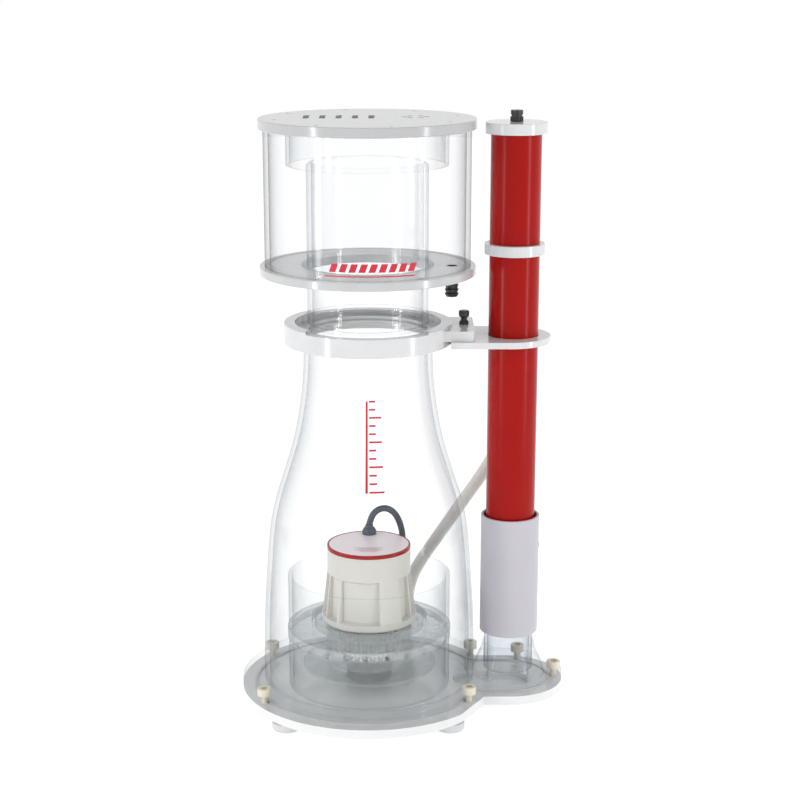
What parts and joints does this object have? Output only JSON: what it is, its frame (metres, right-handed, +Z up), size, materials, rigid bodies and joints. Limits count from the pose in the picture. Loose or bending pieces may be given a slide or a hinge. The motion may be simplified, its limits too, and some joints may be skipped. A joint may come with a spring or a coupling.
{
  "type": "protein skimmer",
  "caption": "Clear cone-bodied aquarium protein skimmer with an internal pump, lift-off collection cup and a red outlet pipe on a keyhole base.",
  "frame": {"origin": "bottom centre of the object's box without its free cord, on the floor", "axes": "+Z up along the body and the outlet pipe, +X from the body to the outlet pipe, +Y to the back, where the lead leaves"},
  "size_m": [0.3354, 0.414, 0.611],
  "materials": {
    "clear_acrylic": "clear, polished",
    "base_acrylic": "milky white, gloss",
    "grey_acrylic": "light grey, satin gloss",
    "smoke_acrylic": "mid grey, gloss",
    "red_acrylic": "deep red, high gloss",
    "riser_clear": "clear, polished",
    "sleeve_pvc": "lavender grey, gloss",
    "ivory_nylon": "ivory, moulded",
    "black_plastic": "black, moulded",
    "motor_plastic": "beige grey, moulded",
    "nut_plastic": "dark grey, knurled",
    "rotor_plastic": "off-white, moulded",
    "magnet": "ground ferrite",
    "shaft_ceramic": "white ceramic, ground",
    "feet_rubber": "pale grey rubber",
    "seal_silicone": "pale grey silicone",
    "label_print": "pale pink printed label",
    "frosted_acrylic": "clear, lightly frosted",
    "lead_pvc": "dark blue grey cable sheath",
    "hose_silicone": "beige grey soft tube"
  },
  "bodies": {
    "skimmer": {"base_plate": "base_acrylic", "base_o_ring": "seal_silicone", "base_flange": "clear_acrylic", "base_screws": "ivory_nylon", "feet": "feet_rubber", "body_shell": "clear_acrylic", "body_collar": "grey_acrylic", "pipe_bracket": "grey_acrylic", "diffuser_lower": "clear_acrylic", "diffuser_ring": "clear_acrylic", "bubble_plate": "frosted_acrylic", "volute": "frosted_acrylic", "intake_strainer": "clear_acrylic", "rotor_shaft": "shaft_ceramic", "shaft_spider": "clear_acrylic", "motor_housing": "motor_plastic", "motor_seat": "clear_acrylic", "motor_cap": "red_acrylic", "motor_label": "label_print", "motor_gland": "lead_pvc", "pump_lead": "lead_pvc", "lead_gland": "lead_pvc", "lead_gland_nut": "lead_pvc", "air_elbow": "black_plastic", "air_elbow_nut": "black_plastic", "air_hose": "hose_silicone", "air_regulator": "nut_plastic", "regulator_nut": "black_plastic", "outlet_bell": "clear_acrylic", "riser_tube": "riser_clear", "supply_lead": "lead_pvc", "supply_coil": "lead_pvc", "plug": "black_plastic"},
    "impeller": {"needle_wheel": "rotor_plastic", "rotor_magnet": "magnet"},
    "union_nut": {"intake_union_nut": "nut_plastic"},
    "thumbscrew": {"bracket_thumbscrew": "black_plastic"},
    "sleeve": {"level_sleeve": "sleeve_pvc"},
    "sleeve_screw": {"sleeve_knob": "black_plastic"},
    "outlet_pipe": {"lower_pipe": "red_acrylic", "mid_ring": "grey_acrylic", "upper_pipe": "red_acrylic", "pipe_cap": "grey_acrylic"},
    "stub": {"air_stub": "black_plastic"},
    "cup": {"neck_twist_ring": "clear_acrylic", "neck_o_ring": "seal_silicone", "neck_tube": "clear_acrylic", "cup_floor": "smoke_acrylic", "neck_weld_ring": "clear_acrylic", "cup_wall": "clear_acrylic", "drain_fitting": "black_plastic"},
    "lid": {"cup_lid": "grey_acrylic", "lid_ring": "clear_acrylic"}
  },
  "joints": [
    {"name": "cup_lift", "type": "slide", "parent": "skimmer", "child": "cup", "axis": [0, 0, 1], "range_m": [0, 0.06]},
    {"name": "lid_lift", "type": "slide", "parent": "cup", "child": "lid", "axis": [0, 0, 1], "range_m": [0, 0.06]},
    {"name": "sleeve_raise", "type": "slide", "parent": "skimmer", "child": "sleeve", "axis": [0, 0, 1], "range_m": [0, 0.03]},
    {"name": "sleeve_screw_turn", "type": "hinge", "parent": "sleeve", "child": "sleeve_screw", "pos_m": [0.13146, 0.02121, 0.161], "axis": [0.7071, 0.7071, 0], "range_deg": [-180, 180]},
    {"name": "pipe_turn", "type": "hinge", "parent": "skimmer", "child": "outlet_pipe", "pos_m": [0.11025, 0, 0.3], "axis": [0, 0, 1], "range_deg": [-180, 180]},
    {"name": "stub_turn", "type": "hinge", "parent": "outlet_pipe", "child": "stub", "pos_m": [0.11025, 0, 0.6], "axis": [0, 0, 1], "range_deg": [-180, 180]},
    {"name": "thumbscrew_turn", "type": "hinge", "parent": "skimmer", "child": "thumbscrew", "pos_m": [0.06075, 0, 0.4], "axis": [0, 0, 1], "range_deg": [-180, 180]},
    {"name": "impeller_spin", "type": "hinge", "parent": "skimmer", "child": "impeller", "pos_m": [-0.03525, 0, 0.1], "axis": [0, 0, 1], "continuous": true},
    {"name": "union_nut_turn", "type": "hinge", "parent": "skimmer", "child": "union_nut", "pos_m": [-0.03525, 0, 0.03], "axis": [0, 0, 1], "range_deg": [-180, 180]}
  ]
}
